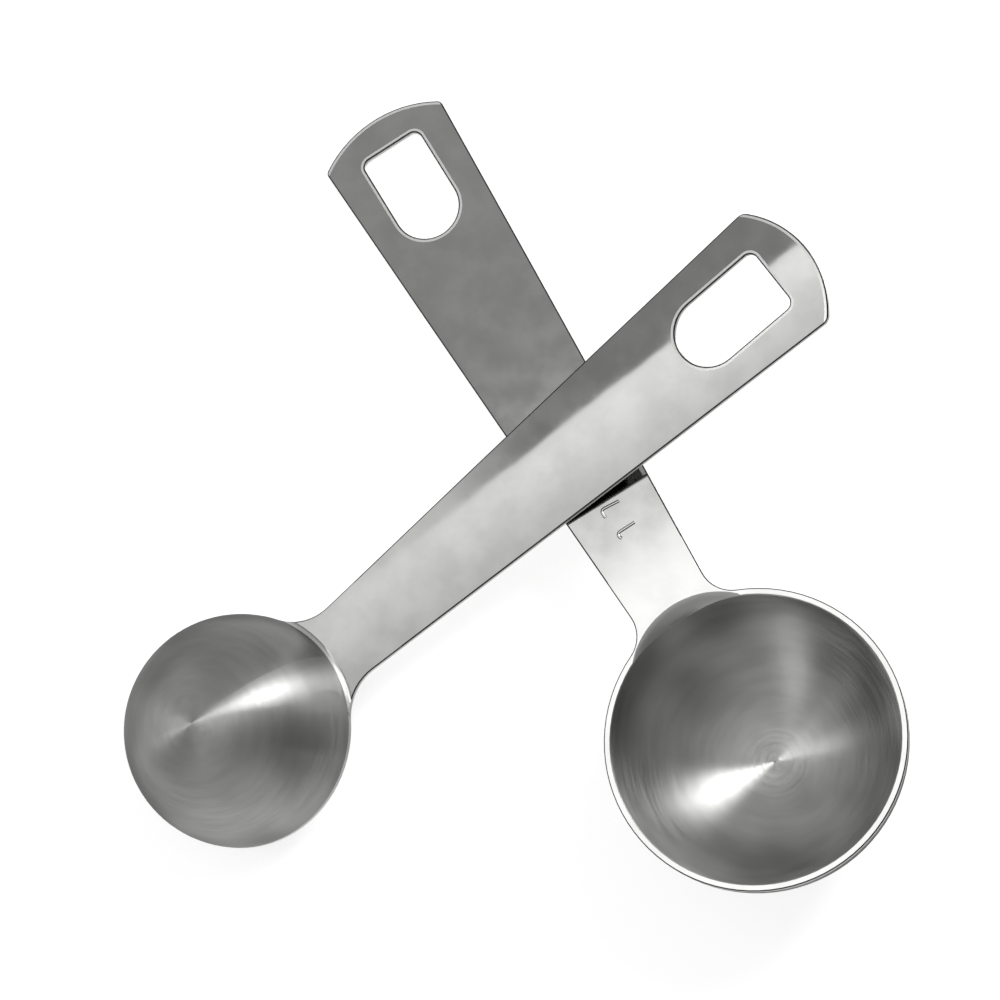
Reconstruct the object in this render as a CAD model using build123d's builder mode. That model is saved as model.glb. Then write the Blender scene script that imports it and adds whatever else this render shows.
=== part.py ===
from build123d import *
from math import asin, atan2, cos, degrees, hypot, pi, radians, sin, sqrt
import os

os.makedirs("parts", exist_ok=True)

# Two measuring spoons of one set, crossed on a table. Each is one pressed stainless sheet:
# a hemispherical bowl with a short straight wall, a draw bend at its root, and a flat tapered
# handle with a D-shaped hang hole. The large spoon lies on its back, the small one upside
# down with its handle across the large one's. Lengths are in mm, angles in degrees, +Z is up,
# and the origin is on the table under the middle of the pair.

# Both spoons
sheet = 0.9  # thickness of the stainless sheet
wall_height = 0.9  # straight wall between the rim and the hemisphere
bend_spread = 28.0  # how far round the rim the draw bend reaches, to each side of the handle
edge_break = 0.15  # bevel on every sheared edge
overrun = 1.0  # how far the cuts run past a face

# Large spoon, 15 ml
large_bowl_radius = 18.85  # inside
large_length = 101.1  # centre of the bowl to the end of the handle
large_root_width = 8.7  # taper of the handle, carried back to the centre of the bowl
large_end_width = 18.5
large_edge_bow = 0.1  # how far the long edges bulge
large_tip_crown = 2.95  # how far the end arc stands past its corners
large_tip_corner = 0.9
large_flare_radius = 4.5  # where the handle runs out into the rim
large_bend_radius = 1.25  # inside radius of the draw bend, on the underside of the root
large_hole_length = 14.8
large_hole_width = 8.95
large_hole_margin = 4.55  # from the hole to the end of the handle
large_hole_corner = 1.2

# Small spoon, 7.5 ml
small_bowl_radius = 14.85
small_length = 100.05
small_root_width = 8.5
small_end_width = 18.9
small_edge_bow = 0.1
small_tip_crown = 3.75
small_tip_corner = 1.6
small_flare_radius = 7.5
small_bend_radius = 0.7
small_hole_length = 15.6
small_hole_width = 9.3
small_hole_margin = 5.8
small_hole_corner = 1.2

# How the pair lies, seen from above
bowl_spacing = 69.5  # between the centres of the two bowls
bowl_bearing = 179.33  # from the large bowl to the small one
large_bearing = 121.97  # of the large handle
small_bearing = 39.23
handle_clearance = 0.15  # between the handles where they cross
settling_passes = 30


def make_spoon(
    seat, bowl_radius, length, root_width, end_width, edge_bow, tip_crown, tip_corner,
    flare_radius, bend_radius, hole_length, hole_width, hole_margin, hole_corner,
):
    """A spoon with its rim and the top of its handle in the plane seat, the handle along x."""
    outer_radius = bowl_radius + sheet
    top_bend_radius = bend_radius + sheet
    section = Plane(seat.origin, x_dir=seat.x_dir, z_dir=-seat.y_dir)
    press_axis = Axis(seat.origin, seat.z_dir)

    # Both faces of the draw bend have this centre, so the sheet keeps its thickness there.
    bend_drop = top_bend_radius - wall_height
    bend_x = sqrt((bowl_radius + top_bend_radius) ** 2 - bend_drop**2)
    bend_centre = (bend_x, -top_bend_radius)
    bend_turn = 90 - degrees(atan2(bend_drop, bend_x))

    # About where the flare of the handle leaves the rim
    flare_share = (root_width / 2 + flare_radius) / (outer_radius + flare_radius)
    flare_x = outer_radius * sqrt(1 - flare_share**2)

    # The draw bend dies away sideways: its upper edge is a circle that meets the rim at
    # bend_spread on each side, and crescent_x is how far towards the handle its centre is.
    rim_radius = bowl_radius + edge_break
    crescent_end = rim_radius * cos(radians(bend_spread))
    crescent_x = (bend_x**2 - rim_radius**2) / (2 * (bend_x - crescent_end))
    crescent_axis = Axis(seat.from_local_coords((crescent_x, 0, 0)), seat.z_dir)

    # The sheared blank
    corner_x = length - tip_crown
    middle_width = (root_width + end_width) / 2 + 2 * edge_bow
    with BuildSketch(seat) as blank:
        Circle(outer_radius)
        with BuildLine():
            long_edge = ThreePointArc(
                (0, root_width / 2), (corner_x / 2, middle_width / 2), (corner_x, end_width / 2)
            )
            far_edge = mirror(long_edge, about=Plane.XZ)
            ThreePointArc(long_edge @ 1, (length, 0), far_edge @ 1)
            Line(long_edge @ 0, far_edge @ 0)
        make_face()
        fillet(blank.vertices().group_by(Axis.X)[-1], tip_corner)
        fillet(blank.vertices().group_by(Axis.X)[0], flare_radius)

    # The underside of the draw bend, a concave ring kept only where the handle leaves the bowl
    with BuildPart() as root:
        with BuildSketch(section):
            with BuildLine():
                under_bend = CenterArc(bend_centre, bend_radius, 90, bend_turn)
                Polyline(
                    under_bend @ 1,
                    (bowl_radius, (under_bend @ 1).Y),
                    (bowl_radius, -sheet / 2),
                    (bend_x, -sheet / 2),
                    under_bend @ 0,
                )
            make_face()
        revolve(axis=press_axis)
        with BuildSketch(seat):
            add(blank.sketch_local)
            with Locations((flare_x, 0)):
                Rectangle(
                    length, 2 * outer_radius, align=(Align.MIN, Align.CENTER), mode=Mode.INTERSECT
                )
        extrude(amount=-outer_radius, mode=Mode.INTERSECT)

    with BuildPart() as spoon:
        extrude(blank.sketch, amount=-sheet)

        # Hang hole: a half round towards the bowl, straight towards the end of the handle
        hole_end = length - hole_margin
        with BuildSketch(seat.offset(overrun)) as hang_hole:
            with Locations((hole_end, 0)):
                Rectangle(
                    hole_length - hole_width / 2, hole_width, align=(Align.MAX, Align.CENTER)
                )
            fillet(hang_hole.vertices().group_by(Axis.X)[-1], hole_corner)
            with Locations((hole_end - hole_length + hole_width / 2, 0)):
                Circle(hole_width / 2)
        extrude(amount=-(sheet + 2 * overrun), mode=Mode.SUBTRACT)
        chamfer(spoon.edges().filter_by(press_axis, reverse=True), edge_break)

        # Outside of the bowl, solid for now, under the bevelled rim of the blank
        with BuildSketch(section):
            with BuildLine():
                dome = CenterArc((0, -wall_height), outer_radius, 270, 90)
                Polyline(dome @ 1, (outer_radius, -edge_break), (0, -edge_break), dome @ 0)
            make_face()
        revolve(axis=press_axis)
        add(root.part)

        # Inside of the bowl, with a bevelled rim
        with BuildSketch(section):
            with BuildLine():
                hollow = CenterArc((0, -wall_height), bowl_radius, 270, 90)
                Polyline(
                    hollow @ 1,
                    (bowl_radius, -edge_break),
                    (rim_radius, 0),
                    (rim_radius, overrun),
                    (0, overrun),
                    hollow @ 0,
                )
            make_face()
        revolve(axis=press_axis, mode=Mode.SUBTRACT)

        # Top of the draw bend: a crescent, widest on the handle's centre line
        with BuildSketch(section):
            with BuildLine():
                top_bend = CenterArc(bend_centre, top_bend_radius, 90, bend_turn)
                Polyline(
                    top_bend @ 0,
                    (bend_x, overrun),
                    (crescent_x, overrun),
                    (crescent_x, (top_bend @ 1).Y),
                    top_bend @ 1,
                )
            make_face()
        revolve(axis=crescent_axis, mode=Mode.SUBTRACT)
    return spoon


# The large spoon rests on the bottom of its bowl and the end of its handle.
large_outer_radius = large_bowl_radius + sheet
end_drop = sheet - wall_height
large_tilt = asin(large_outer_radius / hypot(large_length, end_drop)) - atan2(end_drop, large_length)
large_way = radians(large_bearing)
large_seat = Plane(
    (0, 0, large_outer_radius + wall_height * cos(large_tilt)),
    x_dir=(cos(large_way) * cos(large_tilt), sin(large_way) * cos(large_tilt), -sin(large_tilt)),
    z_dir=(cos(large_way) * sin(large_tilt), sin(large_way) * sin(large_tilt), cos(large_tilt)),
)

# The small spoon rests on its rim and across the raised long edge of the large handle: its
# plane passes just over two points of that edge, and its rim comes down to the table.
small_outer_radius = small_bowl_radius + sheet
small_x = bowl_spacing * cos(radians(bowl_bearing))
small_y = bowl_spacing * sin(radians(bowl_bearing))
near = large_seat.from_local_coords((0, large_root_width / 2, 0))
far = large_seat.from_local_coords((large_length - large_tip_crown, large_end_width / 2, 0))
near_x = near.X - small_x
near_y = near.Y - small_y
far_x = far.X - small_x
far_y = far.Y - small_y
spread = near_x * far_y - far_x * near_y
rim_height = 0
for settling in range(settling_passes):
    near_rise = near.Z + handle_clearance - rim_height
    far_rise = far.Z + handle_clearance - rim_height
    rise_x = (near_rise * far_y - far_rise * near_y) / spread
    rise_y = (near_x * far_rise - far_x * near_rise) / spread
    small_tilt = atan2(hypot(rise_x, rise_y), 1)
    rim_height = (small_outer_radius - edge_break) * sin(small_tilt)
small_way = radians(small_bearing)
small_seat = Plane(
    (small_x, small_y, rim_height),
    x_dir=(cos(small_way), sin(small_way), rise_x * cos(small_way) + rise_y * sin(small_way)),
    z_dir=(rise_x, rise_y, -1),
)

large_spoon = make_spoon(
    large_seat,
    large_bowl_radius,
    large_length,
    large_root_width,
    large_end_width,
    large_edge_bow,
    large_tip_crown,
    large_tip_corner,
    large_flare_radius,
    large_bend_radius,
    large_hole_length,
    large_hole_width,
    large_hole_margin,
    large_hole_corner,
)
small_spoon = make_spoon(
    small_seat,
    small_bowl_radius,
    small_length,
    small_root_width,
    small_end_width,
    small_edge_bow,
    small_tip_crown,
    small_tip_corner,
    small_flare_radius,
    small_bend_radius,
    small_hole_length,
    small_hole_width,
    small_hole_margin,
    small_hole_corner,
)

# The origin goes on the table, under the middle of the pair.
pair = large_spoon.part.bounding_box().add(small_spoon.part.bounding_box())
to_origin = Location((-pair.center().X, -pair.center().Y, -pair.min.Z))
large_spoon.part.move(to_origin)
small_spoon.part.move(to_origin)

large_spoon.part.label = "large_spoon"
small_spoon.part.label = "small_spoon"
export_step(large_spoon.part, "parts/large_spoon.step")
export_step(small_spoon.part, "parts/small_spoon.step")

for name, radius in (("large", large_bowl_radius), ("small", small_bowl_radius)):
    capacity = 2 / 3 * pi * radius**3 + pi * radius**2 * wall_height
    print(f"{name} bowl holds {capacity / 1000:.2f} ml")
print("large tilt", round(degrees(large_tilt), 3), "small tilt", round(degrees(small_tilt), 3))
print("shift to origin", to_origin.position)
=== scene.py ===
import math

import bpy
from mathutils import Matrix, Vector


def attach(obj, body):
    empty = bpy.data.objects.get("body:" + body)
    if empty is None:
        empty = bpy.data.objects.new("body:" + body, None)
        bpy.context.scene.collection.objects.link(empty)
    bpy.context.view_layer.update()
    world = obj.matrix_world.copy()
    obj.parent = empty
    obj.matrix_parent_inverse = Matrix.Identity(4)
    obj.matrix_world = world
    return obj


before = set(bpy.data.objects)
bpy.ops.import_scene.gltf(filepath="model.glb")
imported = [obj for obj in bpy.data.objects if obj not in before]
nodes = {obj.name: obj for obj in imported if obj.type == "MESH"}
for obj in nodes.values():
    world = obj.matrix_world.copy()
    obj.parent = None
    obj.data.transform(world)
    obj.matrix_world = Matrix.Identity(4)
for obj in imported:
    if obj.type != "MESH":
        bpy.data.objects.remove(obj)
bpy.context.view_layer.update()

# Two stainless measuring spoons of one set, crossed on a white table. Lengths are in metres,
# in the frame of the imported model: +Z up, the origin on the table under the middle of the pair.
MM = 0.001
WHITE = (1.0, 1.0, 1.0, 1.0)
UP = Vector((0.0, 0.0, 1.0))

# The camera, as fitted to the photograph. CAMERA_BACK points from the spoons to the camera.
FRAME_WIDTH = 1000
FOCAL_LENGTH = 3712.9  # in pixels of that frame
SENSOR_WIDTH = 36.0
CAMERA_PLACE = Vector((0.05042, -0.03027, 0.50001))
CAMERA_BACK = Vector((0.104706, -0.057655, 0.992831))
CAMERA_UP = Vector((0.006047, 0.998337, 0.057337))
NEAREST_SEEN = 0.01
FARTHEST_SEEN = 20.0

# How each spoon lies: the middle of its rim, the way its handle runs and the way its bowl
# opens. Its sizes are those of the solid, and its cuts are drawn as lines past handle_start.
SPOONS = {
    "large_spoon": dict(
        rim=Vector((0.032811, -0.033326, 0.020633)),
        along=Vector((-0.519274, 0.831981, -0.195351)),
        opens=Vector((-0.103434, 0.165721, 0.980733)),
        bowl_radius=18.85 * MM,
        length=101.1 * MM,
        root_width=8.7 * MM,
        handle_start=28.0 * MM,
        end_width=18.5 * MM,
        tip_crown=2.95 * MM,
        hole_length=14.8 * MM,
        hole_width=8.95 * MM,
        hole_margin=4.55 * MM,
    ),
    "small_spoon": dict(
        rim=Vector((-0.036684, -0.032514, 0.003944)),
        along=Vector((0.765604, 0.625080, 0.152070)),
        opens=Vector((0.244540, -0.064137, -0.967516)),
        bowl_radius=14.85 * MM,
        length=100.05 * MM,
        root_width=8.5 * MM,
        handle_start=25.0 * MM,
        end_width=18.9 * MM,
        tip_crown=3.75 * MM,
        hole_length=15.6 * MM,
        hole_width=9.3 * MM,
        hole_margin=5.8 * MM,
    ),
}
SHEET = 0.9 * MM
HOLE_CORNER = 1.2 * MM
EDGE_BOW = 0.1 * MM  # how far the long edges of a handle bulge


# Nodes

MIDDLE_OF_NOISE = (0.3, 0.7)  # nearly all of a noise texture's values lie between these


def feed(tree, socket, given):
    """Link a socket to another one, or set its value."""
    if isinstance(given, bpy.types.NodeSocket):
        tree.links.new(given, socket)
    else:
        socket.default_value = given


def math_node(kind, operation, output):
    """A function that adds a math node, feeds its sockets in order and gives its output."""
    def add(tree, *given):
        node = tree.nodes.new(kind)
        node.operation = operation
        for socket, value in zip(node.inputs, given):
            feed(tree, socket, value)
        return node.outputs[output]
    return add


total = math_node("ShaderNodeMath", "ADD", "Value")
difference = math_node("ShaderNodeMath", "SUBTRACT", "Value")
product = math_node("ShaderNodeMath", "MULTIPLY", "Value")
quotient = math_node("ShaderNodeMath", "DIVIDE", "Value")
multiply_add = math_node("ShaderNodeMath", "MULTIPLY_ADD", "Value")
square_root = math_node("ShaderNodeMath", "SQRT", "Value")
without_sign = math_node("ShaderNodeMath", "ABSOLUTE", "Value")
larger = math_node("ShaderNodeMath", "MAXIMUM", "Value")
smaller = math_node("ShaderNodeMath", "MINIMUM", "Value")

# Masks are 1 where they hold and 0 elsewhere.
over = math_node("ShaderNodeMath", "GREATER_THAN", "Value")
under = math_node("ShaderNodeMath", "LESS_THAN", "Value")
both = product
either = larger

vector_total = math_node("ShaderNodeVectorMath", "ADD", "Vector")
vector_difference = math_node("ShaderNodeVectorMath", "SUBTRACT", "Vector")
cross = math_node("ShaderNodeVectorMath", "CROSS_PRODUCT", "Vector")
unit = math_node("ShaderNodeVectorMath", "NORMALIZE", "Vector")
dot = math_node("ShaderNodeVectorMath", "DOT_PRODUCT", "Value")
size = math_node("ShaderNodeVectorMath", "LENGTH", "Value")


def opposite(tree, share):
    return difference(tree, 1.0, share)


def scaled(tree, vector, factor):
    node = tree.nodes.new("ShaderNodeVectorMath")
    node.operation = "SCALE"
    feed(tree, node.inputs["Vector"], vector)
    feed(tree, node.inputs["Scale"], factor)
    return node.outputs["Vector"]


def size_along(tree, vector, axis):
    """How long a vector is along an axis, whichever way it points."""
    return without_sign(tree, dot(tree, vector, axis))


def across_corner(tree, first, second):
    """The length of the side across a right angle."""
    return square_root(tree, multiply_add(tree, second, second, product(tree, first, first)))


def ramp(tree, value, low, high, to_low, to_high):
    """A smooth change from to_low to to_high as a value goes from low to high."""
    node = tree.nodes.new("ShaderNodeMapRange")
    node.interpolation_type = "SMOOTHSTEP"
    for name, given in (("Value", value), ("From Min", low), ("From Max", high),
                        ("To Min", to_low), ("To Max", to_high)):
        feed(tree, node.inputs[name], given)
    return node.outputs["Result"]


def mixed(tree, share, first, second):
    node = tree.nodes.new("ShaderNodeMix")
    sockets = {socket.identifier: socket for socket in node.inputs}
    for name, given in (("Factor_Float", share), ("A_Float", first), ("B_Float", second)):
        feed(tree, sockets[name], given)
    return node.outputs["Result"]


def layered(tree, base, *layers):
    """A value with others laid over it in turn, each where its mask holds."""
    for mask, value in layers:
        base = mixed(tree, mask, base, value)
    return base


def noise(tree, place, scale, detail):
    node = tree.nodes.new("ShaderNodeTexNoise")
    node.inputs["Scale"].default_value = scale
    node.inputs["Detail"].default_value = detail
    feed(tree, node.inputs["Vector"], place)
    return node.outputs["Fac"]


def varied(tree, pattern, middle, share):
    """A value that strays from the middle one, by a share of it, with a noise pattern."""
    low, high = MIDDLE_OF_NOISE
    return ramp(tree, pattern, low, high, middle * (1 - share), middle * (1 + share))


def new_material(name):
    material = bpy.data.materials.new(name)
    material.use_nodes = True
    tree = material.node_tree
    return material, tree, tree.nodes["Principled BSDF"]


def new_group(name, vectors, values, results):
    """A shader node group with named inputs and outputs, and the sockets of both."""
    group = bpy.data.node_groups.new(name, "ShaderNodeTree")
    for names, in_out, kind in (
        (vectors, "INPUT", "Vector"), (values, "INPUT", "Float"), (results, "OUTPUT", "Float"),
    ):
        for socket in names:
            group.interface.new_socket(socket, in_out=in_out, socket_type="NodeSocket" + kind)
    given = group.nodes.new("NodeGroupInput").outputs
    result = group.nodes.new("NodeGroupOutput").inputs
    return group, given, result


# Faces and lines of a spoon, found from how it lies

# Heights over the rim and distances past the bowl's inside are in thicknesses of the sheet.
UNDERSIDE_HEIGHT = -1.05  # the outside of the bowl is under this
SHEARED_HEIGHT = -1.02  # the sheared walls are over this
HOLLOW_REACH = 0.05
OUTSIDE_REACH = 1.12
BEND_REACH = 2.5  # of the top of the draw bend
RIM_REACH = 4.0
# Flatness is 1 on a face that is flat to the rim, and slope is -1 on one that faces the axis.
TOP_FLATNESS = 0.995
BEVEL_FLATNESS = 0.9
WALL_FLATNESS = 0.4
BEND_SLOPE = -0.1
WALL_SLOPE = -0.2

# The width of the dark line of painted shade along the cuts.
CUT_LINE_WIDTH = 0.19 * MM
# The width of the painted highlight beside the punched edge of the hole and the end arc.
HIGHLIGHT_LINE_WIDTH = 0.32 * MM

# Each pattern's scale round the press axis, its scale outwards per metre, and its detail
BRUSHING = {
    "Marks": (2.5, 6000.0, 3.0),
    "Bands": (1.6, 900.0, 2.0),
    "Rings": (0.5, 1300.0, 1.0),
}
RING_REACH = 8.0 * MM


def height_over_rim(group, given):
    return dot(group, given["From Rim"], given["Opens"])


def from_axis(group, given):
    """The distance of a place from the press axis, and the way out to it."""
    upright = scaled(group, given["Opens"], height_over_rim(group, given))
    outward = vector_difference(group, given["From Rim"], upright)
    return size(group, outward), unit(group, outward)


def spoon_faces():
    """Masks for the faces of the pressed sheet and for the walls and bevels of its cuts."""
    group, given, result = new_group(
        "spoon_faces", ("From Rim", "Opens"), ("Bowl Radius", "Sheet"),
        ("Inside", "Outside", "Bend", "Crescent", "Wall", "Bevel"),
    )

    def past_inside(sheets):
        return multiply_add(group, given["Sheet"], sheets, given["Bowl Radius"])

    height = height_over_rim(group, given)
    radius, way = from_axis(group, given)
    normal = group.nodes.new("ShaderNodeNewGeometry").outputs["Normal"]
    flatness = size_along(group, normal, given["Opens"])
    slope = dot(group, normal, way)

    # The wall of the bowl is as high as the sheet is thick, so the ball's centre is that far down.
    from_centre = vector_total(
        group, given["From Rim"], scaled(group, given["Opens"], given["Sheet"])
    )
    past_middle = over(group, size(group, from_centre), past_inside(0.5))
    lower = under(group, height, product(group, given["Sheet"], UNDERSIDE_HEIGHT))
    underside = both(group, past_middle, lower)
    under_bowl = under(group, radius, past_inside(OUTSIDE_REACH))
    feed(group, result["Outside"], both(group, underside, under_bowl))
    feed(group, result["Bend"], both(group, underside, opposite(group, under_bowl)))

    # The top of the draw bend slopes in to the hollow.
    by_rim = under(group, radius, past_inside(BEND_REACH))
    tilted = under(group, flatness, TOP_FLATNESS)
    facing_in = under(group, slope, BEND_SLOPE)
    top_bend = both(group, by_rim, both(group, tilted, facing_in))
    hollow = under(group, radius, past_inside(HOLLOW_REACH))
    hollow_or_bend = either(group, hollow, top_bend)
    feed(group, result["Inside"], both(group, hollow_or_bend, opposite(group, underside)))
    feed(group, result["Crescent"], both(group, top_bend, opposite(group, hollow)))

    # At the rim only a wall that faces out was cut; further out those of the hang hole were too.
    in_sheet = over(group, height, product(group, given["Sheet"], SHEARED_HEIGHT))
    past_rim = opposite(group, under(group, radius, past_inside(RIM_REACH)))
    sheared = either(group, over(group, slope, WALL_SLOPE), past_rim)
    past_hollow = over(group, radius, given["Bowl Radius"])
    cut = both(group, in_sheet, both(group, sheared, past_hollow))
    upright = under(group, flatness, WALL_FLATNESS)
    flat = over(group, flatness, BEVEL_FLATNESS)
    feed(group, result["Wall"], both(group, upright, cut))
    feed(group, result["Bevel"], both(group, opposite(group, either(group, upright, flat)), cut))
    return group


def circular_brushing():
    """Patterns that run round the press axis of a bowl and are thin outwards from it."""
    group, given, result = new_group(
        "circular_brushing", ("From Rim", "Opens"), ("Ring Reach",), BRUSHING
    )
    radius, way = from_axis(group, given)
    for name, (round_scale, outward_scale, detail) in BRUSHING.items():
        stretched = vector_total(
            group, scaled(group, way, round_scale),
            scaled(group, given["Opens"], product(group, radius, outward_scale)),
        )
        pattern = noise(group, stretched, 1.0, detail)
        if name == "Rings":
            fading = ramp(group, radius, 0.0, given["Ring Reach"], 1.0, 0.0)
            pattern = product(group, pattern, fading)
        feed(group, result[name], pattern)
    return group


def handle_lines():
    """Masks for a dark line of painted shade along every cut of a handle, and for a bright
    line of painted highlight beside the punched edge round the hang hole and the end arc."""
    group, given, result = new_group(
        "handle_lines", ("From Rim", "Opens", "Along"),
        ("Hole End", "Hole Length", "Hole Width", "Hole Corner", "Arc Centre", "Arc Radius",
         "Root Width", "End Width", "Corner Place", "Edge Bow", "Handle Start",
         "Cut Line Width", "Painted Highlight Width"),
        ("Edge Shade", "Painted Highlight"),
    )
    x = dot(group, given["From Rim"], given["Along"])
    y = size_along(group, given["From Rim"], cross(group, given["Opens"], given["Along"]))

    # Far from the bowl the hole is a rectangle with rounded corners, near it a half circle.
    half_hole = product(group, given["Hole Width"], 0.5)
    past_end = difference(group, x, difference(group, given["Hole End"], given["Hole Corner"]))
    past_side = difference(group, y, difference(group, half_hole, given["Hole Corner"]))
    from_corner = across_corner(
        group, larger(group, past_end, 0.0), larger(group, past_side, 0.0)
    )
    from_square = difference(group, from_corner, given["Hole Corner"])
    hole_start = difference(group, given["Hole End"], given["Hole Length"])
    past_middle = difference(group, x, total(group, hole_start, half_hole))
    from_middle = across_corner(group, smaller(group, past_middle, 0.0), y)
    from_hole = larger(group, from_square, difference(group, from_middle, half_hole))

    past_centre = larger(group, difference(group, x, given["Arc Centre"]), 0.0)
    from_arc = difference(group, given["Arc Radius"], across_corner(group, past_centre, y))

    # The long edges open evenly from the root to the corners and bulge between them: four
    # times the share times what is left of it is 1 halfway.
    share = quotient(group, x, given["Corner Place"])
    opening = difference(group, given["End Width"], given["Root Width"])
    full_width = multiply_add(group, share, opening, given["Root Width"])
    halfway = product(group, share, opposite(group, share))
    bulge = product(group, halfway, product(group, given["Edge Bow"], 4.0))
    from_side = difference(group, multiply_add(group, full_width, 0.5, bulge), y)

    on_handle = over(group, x, given["Handle Start"])
    from_punch = smaller(group, from_hole, from_arc)
    from_cut = smaller(group, from_punch, from_side)
    # Painted shade: a dark line along every cut of the handle.
    dark = both(group, under(group, from_cut, given["Cut Line Width"]), on_handle)
    # Painted highlight: a bright band beside the hang hole and the end arc.
    bright_limit = total(group, given["Cut Line Width"], given["Painted Highlight Width"])
    bright = both(group, under(group, from_punch, bright_limit), on_handle)
    feed(group, result["Edge Shade"], dark)
    feed(group, result["Painted Highlight"], both(group, bright, opposite(group, dark)))
    return group


def placed_group(tree, group, spoon, from_rim):
    """A node group in a spoon's material, given how that spoon lies; returns its outputs."""
    half_end = spoon["end_width"] / 2
    crown = spoon["tip_crown"]
    arc_radius = (half_end**2 + crown**2) / (2 * crown)
    known = {
        "From Rim": from_rim,
        "Opens": spoon["opens"],
        "Along": spoon["along"],
        "Bowl Radius": spoon["bowl_radius"],
        "Sheet": SHEET,
        "Ring Reach": RING_REACH,
        "Hole End": spoon["length"] - spoon["hole_margin"],
        "Hole Length": spoon["hole_length"],
        "Hole Width": spoon["hole_width"],
        "Hole Corner": HOLE_CORNER,
        "Arc Centre": spoon["length"] - arc_radius,
        "Arc Radius": arc_radius,
        "Root Width": spoon["root_width"],
        "End Width": spoon["end_width"],
        "Corner Place": spoon["length"] - crown,
        "Edge Bow": EDGE_BOW,
        "Handle Start": spoon["handle_start"],
        "Cut Line Width": CUT_LINE_WIDTH,
        "Painted Highlight Width": HIGHLIGHT_LINE_WIDTH,
    }
    node = tree.nodes.new("ShaderNodeGroup")
    node.node_tree = group
    for socket in node.inputs:
        feed(tree, socket, known[socket.name])
    return node.outputs


# Steel

BLUE_SHARE = 0.985  # of the red and green, because stainless steel is a warm grey
GRAZING_TINT = (0.3, 0.3, 0.3, 1.0)
ALONG_BRUSHING = 0.25  # a quarter turn of the tangent

HANDLE_ROUGHNESS = 0.055
HANDLE_COLOUR = 0.62
BOWL_ROUGHNESS = 0.33
# Painted shade: the bowls are darker than the handles, and their outsides darker still, for the
# darker room that they mirror; the crescent is painted to match the bowl.
INSIDE_COLOUR = 0.5
OUTSIDE_COLOUR = 0.31
CRESCENT_COLOUR = 0.45
BEND_ROUGHNESS = 0.42
BEND_COLOUR = 0.7
# Painted highlight: the light, rough band beside the hang hole and the end arc.
HIGHLIGHT_LINE_ROUGHNESS = 0.4
HIGHLIGHT_LINE_COLOUR = 0.95
EDGE_ROUGHNESS = 0.5
WALL_COLOUR = 0.75
# Painted shade: the near-black line along the cuts and on their bevels.
EDGE_SHADE_COLOUR = 0.07

# Scales are per metre, and contrasts are shares of the value that varies.
BLOTCH_SCALE = 220.0
BLOTCH_DETAIL = 4.0
BLOTCH_CONTRAST = 0.06
HANDLE_ROUGHNESS_CONTRAST = 0.2
BOWL_ROUGHNESS_CONTRAST = 0.1
BAND_CONTRAST = 0.045
# Soft dark patches in the bowls' tone are painted reflections of things in the room.
CLOUD_SCALE = 75.0
CLOUD_DETAIL = 1.0
CLOUD_CONTRAST = 0.3
WAVE_SCALE = 90.0
WAVE_DETAIL = 2.0
SHEET_WAVE = 0.006 * MM
RING_HEIGHT = 0.12 * MM

# Painted shade: how bright the steel of a handle and of a bowl stays where steel mirrors it, which
# darkens where the handles cross and where the bowls mirror themselves
HANDLE_SHADED_IN_STEEL = 0.5
BOWL_SHADED_IN_STEEL = 0.8


def steel_grey(tree, tone):
    node = tree.nodes.new("ShaderNodeCombineColor")
    feed(tree, node.inputs["Red"], tone)
    feed(tree, node.inputs["Green"], tone)
    feed(tree, node.inputs["Blue"], product(tree, tone, BLUE_SHARE))
    return node.outputs["Color"]


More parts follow.
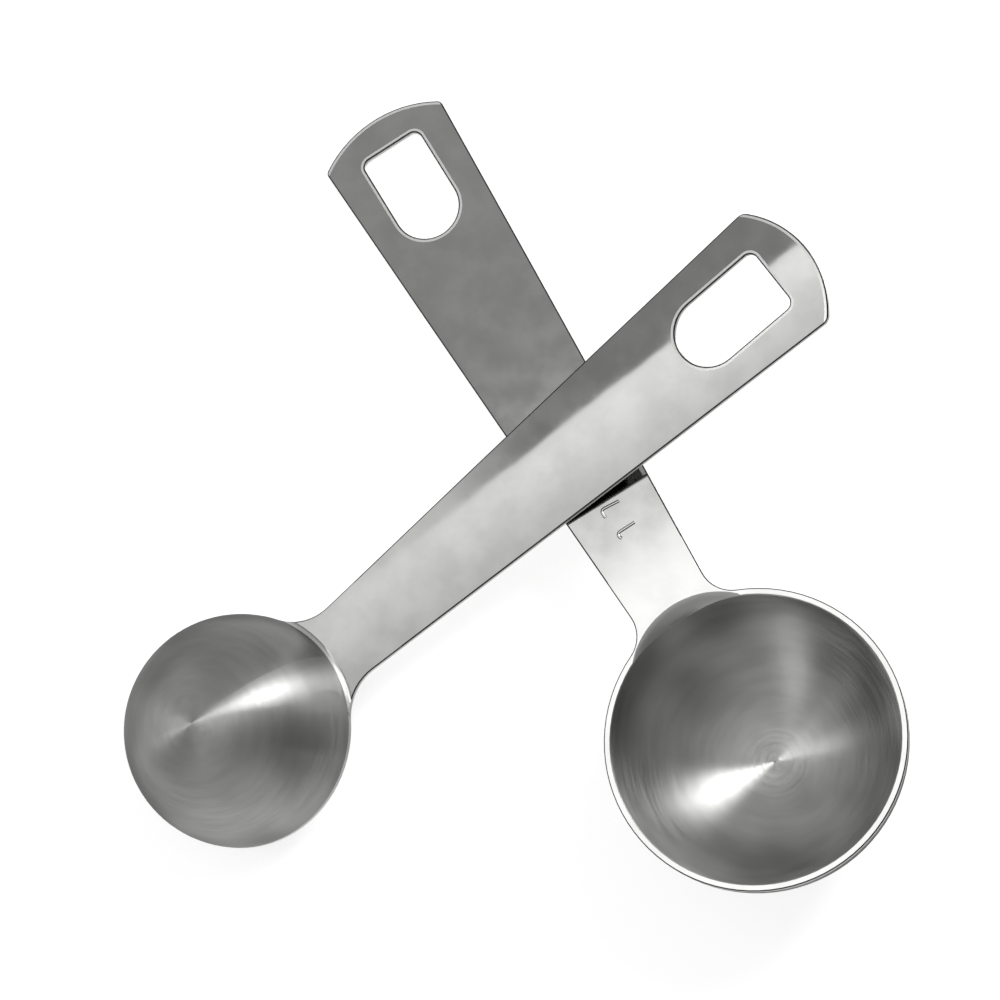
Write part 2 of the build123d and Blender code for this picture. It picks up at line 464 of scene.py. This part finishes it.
def spoon_steel(name, spoon, groups):
    """Stainless sheet: the handle satin and nearly flat, the bowl brushed round its axis."""
    material, tree, shader = new_material(name)
    shader.inputs["Metallic"].default_value = 1.0
    shader.inputs["Anisotropic"].default_value = 1.0
    shader.inputs["Anisotropic Rotation"].default_value = ALONG_BRUSHING
    shader.inputs["Specular Tint"].default_value = GRAZING_TINT

    place = tree.nodes.new("ShaderNodeTexCoord").outputs["Object"]
    from_rim = vector_difference(tree, place, spoon["rim"])
    around = cross(tree, spoon["opens"], from_rim)
    feed(tree, shader.inputs["Tangent"], unit(tree, around))

    faces, brushing, lines = (placed_group(tree, group, spoon, from_rim) for group in groups)
    bowl = either(tree, faces["Inside"], faces["Outside"])
    # The dark line along the cuts and the bevels of the cuts carry painted shade.
    edge_shade = either(tree, lines["Edge Shade"], faces["Bevel"])
    blotches = noise(tree, place, BLOTCH_SCALE, BLOTCH_DETAIL)

    feed(tree, shader.inputs["Roughness"], layered(
        tree, varied(tree, blotches, HANDLE_ROUGHNESS, HANDLE_ROUGHNESS_CONTRAST),
        (bowl, varied(tree, brushing["Marks"], BOWL_ROUGHNESS, BOWL_ROUGHNESS_CONTRAST)),
        (faces["Bend"], BEND_ROUGHNESS),
        (lines["Painted Highlight"], HIGHLIGHT_LINE_ROUGHNESS),
        (either(tree, faces["Wall"], edge_shade), EDGE_ROUGHNESS),
    ))

    # Painted reflection: soft dark patches in the tone of the bowls.
    painted_reflections = varied(tree, noise(tree, place, CLOUD_SCALE, CLOUD_DETAIL), 1.0, CLOUD_CONTRAST)
    bands = varied(tree, brushing["Bands"], 1.0, BAND_CONTRAST)
    # Painted shade: the outside of the bowl is darker than its inside, and both are darker than
    # the handle.
    plain_bowl = mixed(tree, faces["Inside"], OUTSIDE_COLOUR, INSIDE_COLOUR)
    tone = layered(
        tree, varied(tree, blotches, HANDLE_COLOUR, BLOTCH_CONTRAST),
        (bowl, product(tree, product(tree, plain_bowl, bands), painted_reflections)),
        (faces["Crescent"], CRESCENT_COLOUR),
        (faces["Bend"], BEND_COLOUR),
        # painted highlight beside the punched edge
        (lines["Painted Highlight"], HIGHLIGHT_LINE_COLOUR),
        # painted shade along the cuts and on their bevels
        (edge_shade, EDGE_SHADE_COLOUR),
        (faces["Wall"], WALL_COLOUR),
    )
    # Painted shade: the steel is darker where other steel mirrors it.
    mirrored = tree.nodes.new("ShaderNodeLightPath").outputs["Is Glossy Ray"]
    shade_in_steel = mixed(tree, bowl, HANDLE_SHADED_IN_STEEL, BOWL_SHADED_IN_STEEL)
    tone = product(tree, tone, mixed(tree, mirrored, 1.0, shade_in_steel))
    feed(tree, shader.inputs["Base Color"], steel_grey(tree, tone))

    waves = product(tree, noise(tree, place, WAVE_SCALE, WAVE_DETAIL), SHEET_WAVE)
    rings = product(tree, brushing["Rings"], RING_HEIGHT)
    bump = tree.nodes.new("ShaderNodeBump")
    bump.inputs["Distance"].default_value = 1.0
    feed(tree, bump.inputs["Height"], mixed(tree, faces["Inside"], waves, rings))
    feed(tree, shader.inputs["Normal"], bump.outputs["Normal"])
    return material


# Mark

# Two plain ones, in millimetres along and across the large handle
MARK_STROKES = (
    ((32.1, 1.05), (32.97, 1.55), (33.0, -1.5)),
    ((35.65, 1.45), (36.85, 1.5), (36.6, -1.25)),
)
STROKE_WIDTH = 0.44 * MM
STROKE_RISE = 0.14 * MM
POINTS_ROUND_STROKE = 16
POINTS_ROUND_CORNER = 4


def stroke_tree(material):
    """Geometry Nodes: a rounded ridge along each curve."""
    tree = bpy.data.node_groups.new("stamped_strokes", "GeometryNodeTree")
    for name, in_out, kind in (
        ("Geometry", "INPUT", "Geometry"), ("Width", "INPUT", "Float"),
        ("Rise Share", "INPUT", "Float"), ("Geometry", "OUTPUT", "Geometry"),
    ):
        tree.interface.new_socket(name, in_out=in_out, socket_type="NodeSocket" + kind)
    given = tree.nodes.new("NodeGroupInput").outputs
    result = tree.nodes.new("NodeGroupOutput").inputs

    profile = tree.nodes.new("GeometryNodeCurvePrimitiveCircle")
    profile.inputs["Resolution"].default_value = POINTS_ROUND_STROKE
    feed(tree, profile.inputs["Radius"], product(tree, given["Width"], 0.5))
    rounded = tree.nodes.new("GeometryNodeFilletCurve")
    rounded.mode = "POLY"
    rounded.inputs["Count"].default_value = POINTS_ROUND_CORNER
    feed(tree, rounded.inputs["Radius"], given["Width"])
    feed(tree, rounded.inputs["Curve"], given["Geometry"])
    sweep = tree.nodes.new("GeometryNodeCurveToMesh")
    sweep.inputs["Fill Caps"].default_value = True
    feed(tree, sweep.inputs["Curve"], rounded.outputs["Curve"])
    feed(tree, sweep.inputs["Profile Curve"], profile.outputs["Curve"])

    # The round ridge is pressed down to its rise.
    scale = tree.nodes.new("ShaderNodeCombineXYZ")
    for axis, share in (("X", 1.0), ("Y", 1.0), ("Z", given["Rise Share"])):
        feed(tree, scale.inputs[axis], share)
    squash = tree.nodes.new("GeometryNodeTransform")
    feed(tree, squash.inputs["Geometry"], sweep.outputs["Mesh"])
    feed(tree, squash.inputs["Scale"], scale.outputs["Vector"])
    realize = tree.nodes.new("GeometryNodeRealizeInstances")
    feed(tree, realize.inputs["Geometry"], squash.outputs["Geometry"])
    paint = tree.nodes.new("GeometryNodeSetMaterial")
    paint.inputs["Material"].default_value = material
    feed(tree, paint.inputs["Geometry"], realize.outputs["Geometry"])
    feed(tree, result["Geometry"], paint.outputs["Geometry"])
    return tree


def seat_matrix(spoon):
    """From a spoon's own axes, with its rim in the plane of x and y, to where it lies."""
    across = spoon["opens"].cross(spoon["along"])
    turn = Matrix((spoon["along"], across, spoon["opens"])).transposed()
    return Matrix.LocRotScale(spoon["rim"], turn, None)


def add_mark(spoon, material):
    curve = bpy.data.curves.new("mark_paths", "CURVE")
    curve.dimensions = "3D"
    for path in MARK_STROKES:
        spline = curve.splines.new("POLY")
        spline.points.add(len(path) - 1)
        for point, (x, y) in zip(spline.points, path):
            point.co = (x * MM, y * MM, 0.0, 1.0)
    paths = bpy.data.objects.new("mark_paths", curve)
    bpy.context.collection.objects.link(paths)
    modifier = paths.modifiers.new("strokes", "NODES")
    modifier.node_group = stroke_tree(material)
    sockets = {item.name: item.identifier for item in modifier.node_group.interface.items_tree
               if item.in_out == "INPUT"}
    modifier[sockets["Width"]] = STROKE_WIDTH
    modifier[sockets["Rise Share"]] = STROKE_RISE * 2 / STROKE_WIDTH
    evaluated = paths.evaluated_get(bpy.context.evaluated_depsgraph_get())
    mesh = bpy.data.meshes.new_from_object(evaluated)
    mesh.name = "capacity_mark"
    mesh.transform(seat_matrix(spoon))
    mesh.polygons.foreach_set("use_smooth", [True] * len(mesh.polygons))
    mark = bpy.data.objects.new("capacity_mark", mesh)
    bpy.data.objects.remove(paths)
    bpy.context.collection.objects.link(mark)
    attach(mark, "large_spoon")


# Camera, table and room

FLOOR_SIZE = 6.0
FLOOR_ALBEDO = 0.6
FLOOR_OWN_WHITE = 0.72  # how much the table glows where it is seen itself

DOME = 0.325
DOME_LOBE = 0.7  # how much lighter the room is along y, and darker along x
LOW_SKY = 1.65  # how much brighter the room is low down
# Heights in the room are from 0 at the horizon to 1 overhead.
LOW_SKY_RANGE = (0.3, 0.75)
WHITE_SKIRT_HEIGHT = 0.2


def add_camera():
    data = bpy.data.cameras.new("camera")
    data.sensor_width = SENSOR_WIDTH
    data.lens = SENSOR_WIDTH * FOCAL_LENGTH / FRAME_WIDTH
    data.clip_start = NEAREST_SEEN
    data.clip_end = FARTHEST_SEEN
    camera = bpy.data.objects.new("camera", data)
    right = CAMERA_UP.cross(CAMERA_BACK).normalized()
    back = CAMERA_BACK.normalized()
    turn = Matrix((right, back.cross(right), back)).transposed()
    camera.matrix_world = Matrix.LocRotScale(CAMERA_PLACE, turn, None)
    bpy.context.collection.objects.link(camera)
    bpy.context.scene.camera = camera


def seen_itself(tree):
    """1 for the rays that see the white table itself, directly or in the metal."""
    path = tree.nodes.new("ShaderNodeLightPath").outputs
    direct = larger(tree, path["Is Camera Ray"], path["Is Glossy Ray"])
    return larger(tree, direct, path["Is Transmission Ray"])


def add_floor():
    half = FLOOR_SIZE / 2
    corners = [(-half, -half, 0), (half, -half, 0), (half, half, 0), (-half, half, 0)]
    mesh = bpy.data.meshes.new("floor")
    mesh.from_pydata(corners, [], [(0, 1, 2, 3)])
    floor = bpy.data.objects.new("floor", mesh)
    bpy.context.collection.objects.link(floor)
    material, tree, shader = new_material("white_table")
    shader.inputs["Base Color"].default_value = (FLOOR_ALBEDO, FLOOR_ALBEDO, FLOOR_ALBEDO, 1.0)
    shader.inputs["Roughness"].default_value = 1.0
    shader.inputs["Specular IOR Level"].default_value = 0.0
    shader.inputs["Emission Color"].default_value = WHITE
    own_white = product(tree, seen_itself(tree), FLOOR_OWN_WHITE)
    feed(tree, shader.inputs["Emission Strength"], own_white)
    mesh.materials.append(material)


def add_world():
    world = bpy.data.worlds.new("studio")
    bpy.context.scene.world = world
    world.use_nodes = True
    tree = world.node_tree
    background = tree.nodes["Background"]
    background.inputs["Color"].default_value = WHITE
    split = tree.nodes.new("ShaderNodeSeparateXYZ")
    feed(tree, split.inputs["Vector"], tree.nodes.new("ShaderNodeTexCoord").outputs["Generated"])
    x, y, height = split.outputs

    # The room is lighter along y than along x, lighter low down, and white at the horizon. The
    # camera sees it white all over.
    lobe = difference(tree, product(tree, y, y), product(tree, x, x))
    low, high = LOW_SKY_RANGE
    level = ramp(tree, height, low, high, LOW_SKY * DOME, DOME)
    dome = product(tree, multiply_add(tree, lobe, DOME_LOBE, 1.0), level)
    room = ramp(tree, height, 0.0, WHITE_SKIRT_HEIGHT, 1.0, dome)
    seen = tree.nodes.new("ShaderNodeLightPath").outputs["Is Camera Ray"]
    feed(tree, background.inputs["Strength"], larger(tree, room, seen))


# Lamps. Where steel mirrors one, its radiance adds to that of the room behind it.

# Both handles mirror the softbox, and its crisp edge lies along the small handle's reflection.
# Places across it run from 0 at that edge to 1, and along it from 0 at the end that the root
# of the small handle mirrors to 1.
CRISP_EDGE_WAY = Vector((0.855, 0.519, 0.0)).normalized()
SOFTBOX_CORNER = Vector((-0.1245, 0.1135, 0.300))
SOFTBOX_SIZE = (0.30, 0.14)
SOFTBOX_BACKSET = 0.06
SMALL_HANDLE_RADIANCE = 0.54
LARGE_HANDLE_RADIANCE = 1.26
BETWEEN_HANDLES = (0.19, 0.29)
CRISP_EDGE_EXTRA = 0.38
CRISP_EDGE_DEPTH = 0.16
ROOT_SHARE = 0.75  # of the radiance, where the root of the small handle mirrors it
ROOT_RANGE = (0.15, 0.6)

# Light spills softly past the softbox where it reaches the root of the small handle.
SPILL_SIZE = (0.20, 0.04)
SPILL_BACKSET = 0.16
SPILL_INSET = 0.015
SPILL_RADIANCE = 0.6
SPILL_FADE = (0.71, 0.93)

# The strips make the streaks in the bowls. Angles are azimuth and elevation in degrees, and a
# strip fades sideways to far_share of its radiance.
STRIPS = {
    "key_strip": dict(angles=(58.5, 46.0), lamp_size=(0.27, 0.28), radiance=10.5, far_share=0.0),
    "fill_strip": dict(angles=(178.0, 38.0), lamp_size=(0.12, 0.12), radiance=2.2, far_share=0.5),
}
STRIP_DISTANCE = 0.6
STRIP_FADE = (0.2, 1.0)


def add_softbox(name, centre, back, lamp_size, side):
    """A rectangular lamp of radiance 1, with its back away from what it lights and its first
    size along side. Returns its node tree, the socket for its radiance, and the sockets for
    how far along it, X, and across it, Y, a place is, both from 0 to 1."""
    data = bpy.data.lights.new(name, "AREA")
    data.shape = "RECTANGLE"
    data.size, data.size_y = lamp_size
    data.energy = lamp_size[0] * lamp_size[1] * math.pi
    data.use_nodes = True
    lamp = bpy.data.objects.new(name, data)
    turn = Matrix((side, back.cross(side), back)).transposed()
    lamp.matrix_world = Matrix.LocRotScale(centre, turn, None)
    bpy.context.collection.objects.link(lamp)
    tree = data.node_tree
    split = tree.nodes.new("ShaderNodeSeparateXYZ")
    place = tree.nodes.new("ShaderNodeNewGeometry").outputs["Parametric"]
    feed(tree, split.inputs["Vector"], place)
    return tree, tree.nodes["Emission"].inputs["Strength"], split.outputs


def add_handle_lamps():
    inward = CRISP_EDGE_WAY.cross(UP)
    half_depth = SOFTBOX_SIZE[1] / 2
    centre = SOFTBOX_CORNER - CRISP_EDGE_WAY * SOFTBOX_BACKSET + inward * half_depth
    tree, radiance, place = add_softbox(
        "handle_softbox", centre, UP, SOFTBOX_SIZE, CRISP_EDGE_WAY
    )
    inset = opposite(tree, place["Y"])
    level = ramp(tree, inset, *BETWEEN_HANDLES, SMALL_HANDLE_RADIANCE, LARGE_HANDLE_RADIANCE)
    extra = ramp(tree, inset, 0.0, CRISP_EDGE_DEPTH, CRISP_EDGE_EXTRA, 0.0)
    share = ramp(tree, place["X"], *ROOT_RANGE, ROOT_SHARE, 1.0)
    feed(tree, radiance, product(tree, total(tree, level, extra), share))

    centre = SOFTBOX_CORNER - CRISP_EDGE_WAY * SPILL_BACKSET - inward * SPILL_INSET
    tree, radiance, place = add_softbox(
        "spill_softbox", centre, UP, SPILL_SIZE, CRISP_EDGE_WAY
    )
    feed(tree, radiance, ramp(tree, place["X"], *SPILL_FADE, SPILL_RADIANCE, 0.0))


def add_strip(name, angles, lamp_size, radiance, far_share):
    """A lamp aimed at the origin that fades sideways to a share of its radiance."""
    azimuth, elevation = (math.radians(angle) for angle in angles)
    flat = Vector((math.cos(azimuth), math.sin(azimuth), 0.0))
    back = flat * math.cos(elevation) + UP * math.sin(elevation)
    side = UP.cross(back).normalized()
    tree, strength, place = add_softbox(name, back * STRIP_DISTANCE, back, lamp_size, side)
    feed(tree, strength, ramp(tree, place["X"], *STRIP_FADE, radiance, radiance * far_share))


add_camera()
add_floor()
add_world()
add_handle_lamps()
for name, strip in STRIPS.items():
    add_strip(name, **strip)

groups = (spoon_faces(), circular_brushing(), handle_lines())
for name, spoon in SPOONS.items():
    steel = spoon_steel(name + "_steel", spoon, groups)
    for slot in nodes[name].material_slots:
        slot.material = steel
add_mark(SPOONS["large_spoon"], nodes["large_spoon"].material_slots[0].material)

bpy.context.scene.view_settings.view_transform = "Standard"
